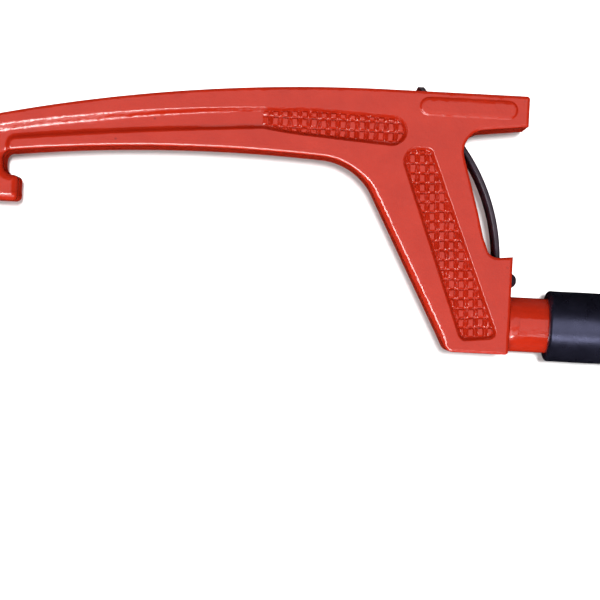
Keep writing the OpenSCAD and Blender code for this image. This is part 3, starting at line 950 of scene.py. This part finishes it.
def make_spring():
    """The coil spring round the guide screw. It shortens as the lever is pressed."""
    count = COIL_TURNS * COIL_STEPS
    verts, faces = [], []
    for i in range(count + 1):
        turn = 2 * math.pi * i / COIL_STEPS
        x = SPRING_X[0] + (SPRING_X[1] - SPRING_X[0]) * i / count
        for k in range(WIRE_SIDES):
            side = 2 * math.pi * k / WIRE_SIDES
            reach = COIL_R + WIRE_R * math.cos(side)
            verts.append((x + WIRE_R * math.sin(side), SCREW_Y + reach * math.cos(turn),
                          reach * math.sin(turn)))
    for i in range(count):
        for k in range(WIRE_SIDES):
            n = (k + 1) % WIRE_SIDES
            a, b = i * WIRE_SIDES, (i + 1) * WIRE_SIDES
            faces.append((a + k, a + n, b + n, b + k))
    faces.append(tuple(range(WIRE_SIDES - 1, -1, -1)))
    faces.append(tuple(range(count * WIRE_SIDES, (count + 1) * WIRE_SIDES)))
    obj = piece("return_spring_coil", verts, faces, WIRE)
    place(obj, "frame", "return_spring")
    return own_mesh(obj)


casting = make_casting()
lever = make_lever()
bar = make_bar()
make_grip()
make_cap()
make_spring()

# The small turned parts stay as the CAD nodes, with better materials
CAD_FINISH = {"lever_bush": BRONZE, "lever_pin": STEEL, "pin_plug": STEEL,
              "spring_washer": STEEL, "guide_screw": OXIDE_AND_SHEEN, "bar_lock_pin": STEEL,
              "end_washer": STEEL, "end_screw": STEEL}
for name, material in CAD_FINISH.items():
    for s in frame["nodes"][name].material_slots:
        s.material = material


# ---------------------------------------------------------------- floor, lights, camera
FLOOR_SIZE = 20.0
FLOOR_GAP = 0.0002


def make_floor():
    """A plain pale floor just under the part, not seen in reflections."""
    m, tree, bsdf = new_material("white_floor")
    tone, _ = object_noise(tree, 6, 2)
    colour = ramp(tree, tone, [(0.3, (0.88, 0.88, 0.88)), (0.7, (0.91, 0.91, 0.91))])
    tree.links.new(colour.outputs["Color"], bsdf.inputs["Base Color"])
    bsdf.inputs["Roughness"].default_value = 0.9
    bsdf.inputs["Specular IOR Level"].default_value = 0.0
    mesh = bpy.data.meshes.new("floor")
    mesh.from_pydata([(x * FLOOR_SIZE, y * FLOOR_SIZE, 0)
                      for x, y in ((-1, -1), (1, -1), (1, 1), (-1, 1))], [], [(0, 1, 2, 3)])
    mesh.materials.append(m)
    floor = bpy.data.objects.new("floor", mesh)
    floor.location.z = cad_box[0].z - FLOOR_GAP
    bpy.context.scene.collection.objects.link(floor)
    floor.visible_glossy = False
    return floor


def add_light(name, kind, power):
    data = bpy.data.lights.new(name, kind)
    data.energy = power
    light = bpy.data.objects.new(name, data)
    bpy.context.scene.collection.objects.link(light)
    return light


def softbox(name, at, size, brightness, aim=(0, 0, 0)):
    """A rectangular light that looks equally bright at any size, and points at aim."""
    light = add_light(name, "AREA", brightness * 4 * size[0] * size[1])
    light.data.shape = "RECTANGLE"
    light.data.size, light.data.size_y = size
    light.location = at
    light.rotation_euler = (Vector(aim) - Vector(at)).to_track_quat("-Z", "Y").to_euler()
    return light


def link_lights(name, lights, objects, state):
    """Lights that shine on those objects alone (INCLUDE), or on all but those (EXCLUDE)."""
    group = bpy.data.collections.new(name)
    for i, obj in enumerate(objects):
        group.objects.link(obj)
        group.collection_objects[i].light_linking.link_state = state
    for light in lights:
        light.light_linking.receiver_collection = group


floor = make_floor()
overhead = softbox("overhead", (-0.03, 0.02, 1.5), (1.9, 1.15), 0.85, (-0.03, 0.02, 0))
front_soft = softbox("front_soft", (0.0, -1.15, 1.5), (1.9, 0.6), 2.0)
key = softbox("key", (-0.35, -1.0, 1.7), (1.2, 1.2), 7.0)
key.visible_glossy = False
# Three bright strips that only show as glints along the rounded edges
glint_front = softbox("glint_front", (-0.55, -1.15, 0.85), (1.1, 0.5), 20.0)
glint_left = softbox("glint_left", (-1.15, -0.62, 1.0), (1.0, 0.5), 14.0)
glint_low = softbox("glint_low", (-0.1, -1.7, 0.32), (2.6, 0.6), 2.2)
for light in (glint_front, glint_left, glint_low):
    light.visible_diffuse = False
# The lights on the pieces leave out the floor, and the glints leave out the matt grip
link_lights("lit_pieces", (overhead, front_soft, key), [floor], "EXCLUDE")
link_lights("glinting", (glint_front, glint_left), [casting, bar, lever], "INCLUDE")
link_lights("glinting_low", (glint_low,), [casting], "INCLUDE")
# The floor's own two lights: a steep one that leaves a thin shadow below the object, and a wide one
floor_sun = add_light("floor_sun", "SUN", 5.0)
floor_sun.data.angle = math.radians(9)
floor_sun.rotation_euler = Vector((-0.06, -0.09, -1)).to_track_quat("-Z", "Y").to_euler()
wash = add_light("floor_wash", "SUN", 0.8)
wash.data.angle = math.radians(150)
link_lights("lit_floor", (floor_sun, wash), [floor], "INCLUDE")

world = bpy.data.worlds.new("studio")
world.use_nodes = True
world.node_tree.nodes["Background"].inputs["Color"].default_value = (1, 1, 1, 1)
world.node_tree.nodes["Background"].inputs["Strength"].default_value = 0.45
world.cycles_visibility.glossy = False
bpy.context.scene.world = world
bpy.context.scene.view_settings.view_transform = "Standard"

# The camera looks straight down on the casting, rolled a little so that the handle slopes
CAMERA_AT = (-97.05, 6.1, HALF + 760.0)
ROLL = 3.0
FIELD = 276.0
SENSOR = 36.0
camera_data = bpy.data.cameras.new("camera")
camera_data.sensor_width = SENSOR
camera_data.lens = SENSOR * (CAMERA_AT[2] - HALF) / FIELD
camera = bpy.data.objects.new("camera", camera_data)
camera.location = ORIGIN + Vector(CAMERA_AT) * MM
camera.rotation_euler = (0, 0, math.radians(ROLL))
bpy.context.scene.collection.objects.link(camera)
bpy.context.scene.camera = camera
